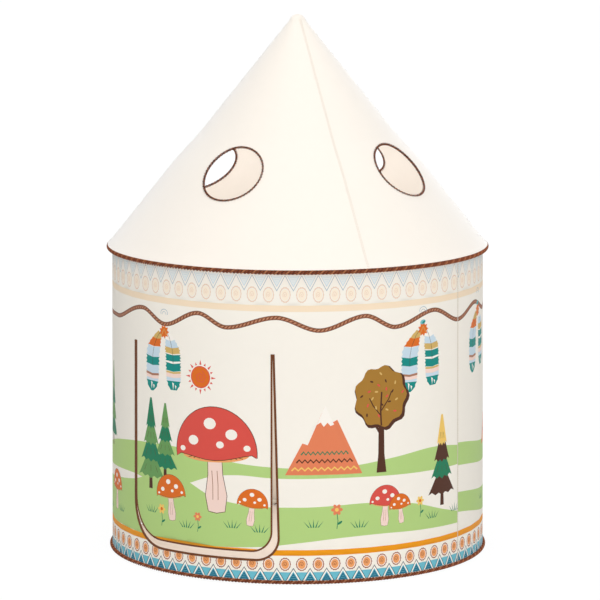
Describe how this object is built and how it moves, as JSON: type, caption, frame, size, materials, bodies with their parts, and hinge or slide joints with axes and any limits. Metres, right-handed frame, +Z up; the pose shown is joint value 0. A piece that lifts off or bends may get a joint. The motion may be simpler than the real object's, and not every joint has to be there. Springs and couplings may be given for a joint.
{
  "type": "play tent",
  "caption": "Round play tent with straight cloth walls, a cone roof with round windows and a U-shaped door flap on a pole frame.",
  "frame": {"origin": "on the floor, under the peak of the roof", "axes": "+Z up, -Y out of the doorway, +X to the right of someone who faces the doorway"},
  "size_m": [1.0578, 1.0577, 1.4899],
  "materials": {
    "wall_cloth": "matt printed woven polyester",
    "roof_cloth": "matt woven polyester",
    "rope_piping": "twisted cord piping",
    "edge_binding": "sewn binding tape",
    "window_cord": "thin twisted cord",
    "hoop_rod": "drawn glass-fibre rod",
    "pole": "extruded tube",
    "ferrule": "drawn sleeve",
    "moulded_plastic": "moulded, fine texture",
    "ground_cloth": "matt coated woven polyester",
    "tie_ribbon": "woven ribbon"
  },
  "bodies": {
    "root": {"base_connector_1": "moulded_plastic", "base_connector_2": "moulded_plastic", "base_connector_3": "moulded_plastic", "base_connector_4": "moulded_plastic", "base_hoop_rod_1": "hoop_rod", "base_hoop_rod_2": "hoop_rod", "base_hoop_rod_3": "hoop_rod", "base_hoop_rod_4": "hoop_rod", "base_piping": "rope_piping", "door_tie_left": "tie_ribbon", "door_tie_right": "tie_ribbon", "doorway_binding": "edge_binding", "eave_connector_1": "moulded_plastic", "eave_connector_2": "moulded_plastic", "eave_connector_3": "moulded_plastic", "eave_connector_4": "moulded_plastic", "eave_hoop_rod_1": "hoop_rod", "eave_hoop_rod_2": "hoop_rod", "eave_hoop_rod_3": "hoop_rod", "eave_hoop_rod_4": "hoop_rod", "eave_piping": "rope_piping", "ground_sheet": "ground_cloth", "lower_rafter_1": "pole", "lower_rafter_2": "pole", "lower_rafter_3": "pole", "lower_rafter_4": "pole", "lower_upright_1": "pole", "lower_upright_2": "pole", "lower_upright_3": "pole", "lower_upright_4": "pole", "peak_hub": "moulded_plastic", "rafter_ferrule_1": "ferrule", "rafter_ferrule_2": "ferrule", "rafter_ferrule_3": "ferrule", "rafter_ferrule_4": "ferrule", "roof_left_panel": "roof_cloth", "roof_right_panel": "roof_cloth", "upper_rafter_1": "pole", "upper_rafter_2": "pole", "upper_rafter_3": "pole", "upper_rafter_4": "pole", "upper_upright_1": "pole", "upper_upright_2": "pole", "upper_upright_3": "pole", "upper_upright_4": "pole", "upright_ferrule_1": "ferrule", "upright_ferrule_2": "ferrule", "upright_ferrule_3": "ferrule", "upright_ferrule_4": "ferrule", "wall_back_panel": "wall_cloth", "wall_front_panel": "wall_cloth", "window_rim_1": "window_cord", "window_rim_2": "window_cord", "window_rim_3": "window_cord", "window_rim_4": "window_cord"},
    "door": {"door_flap": "wall_cloth", "flap_binding": "edge_binding"}
  },
  "joints": [
    {"name": "door_hinge", "type": "hinge", "parent": "root", "child": "door", "pos_m": [0, -0.5175, 0.625], "axis": [-1, 0, 0], "range_deg": [0, 150]}
  ]
}
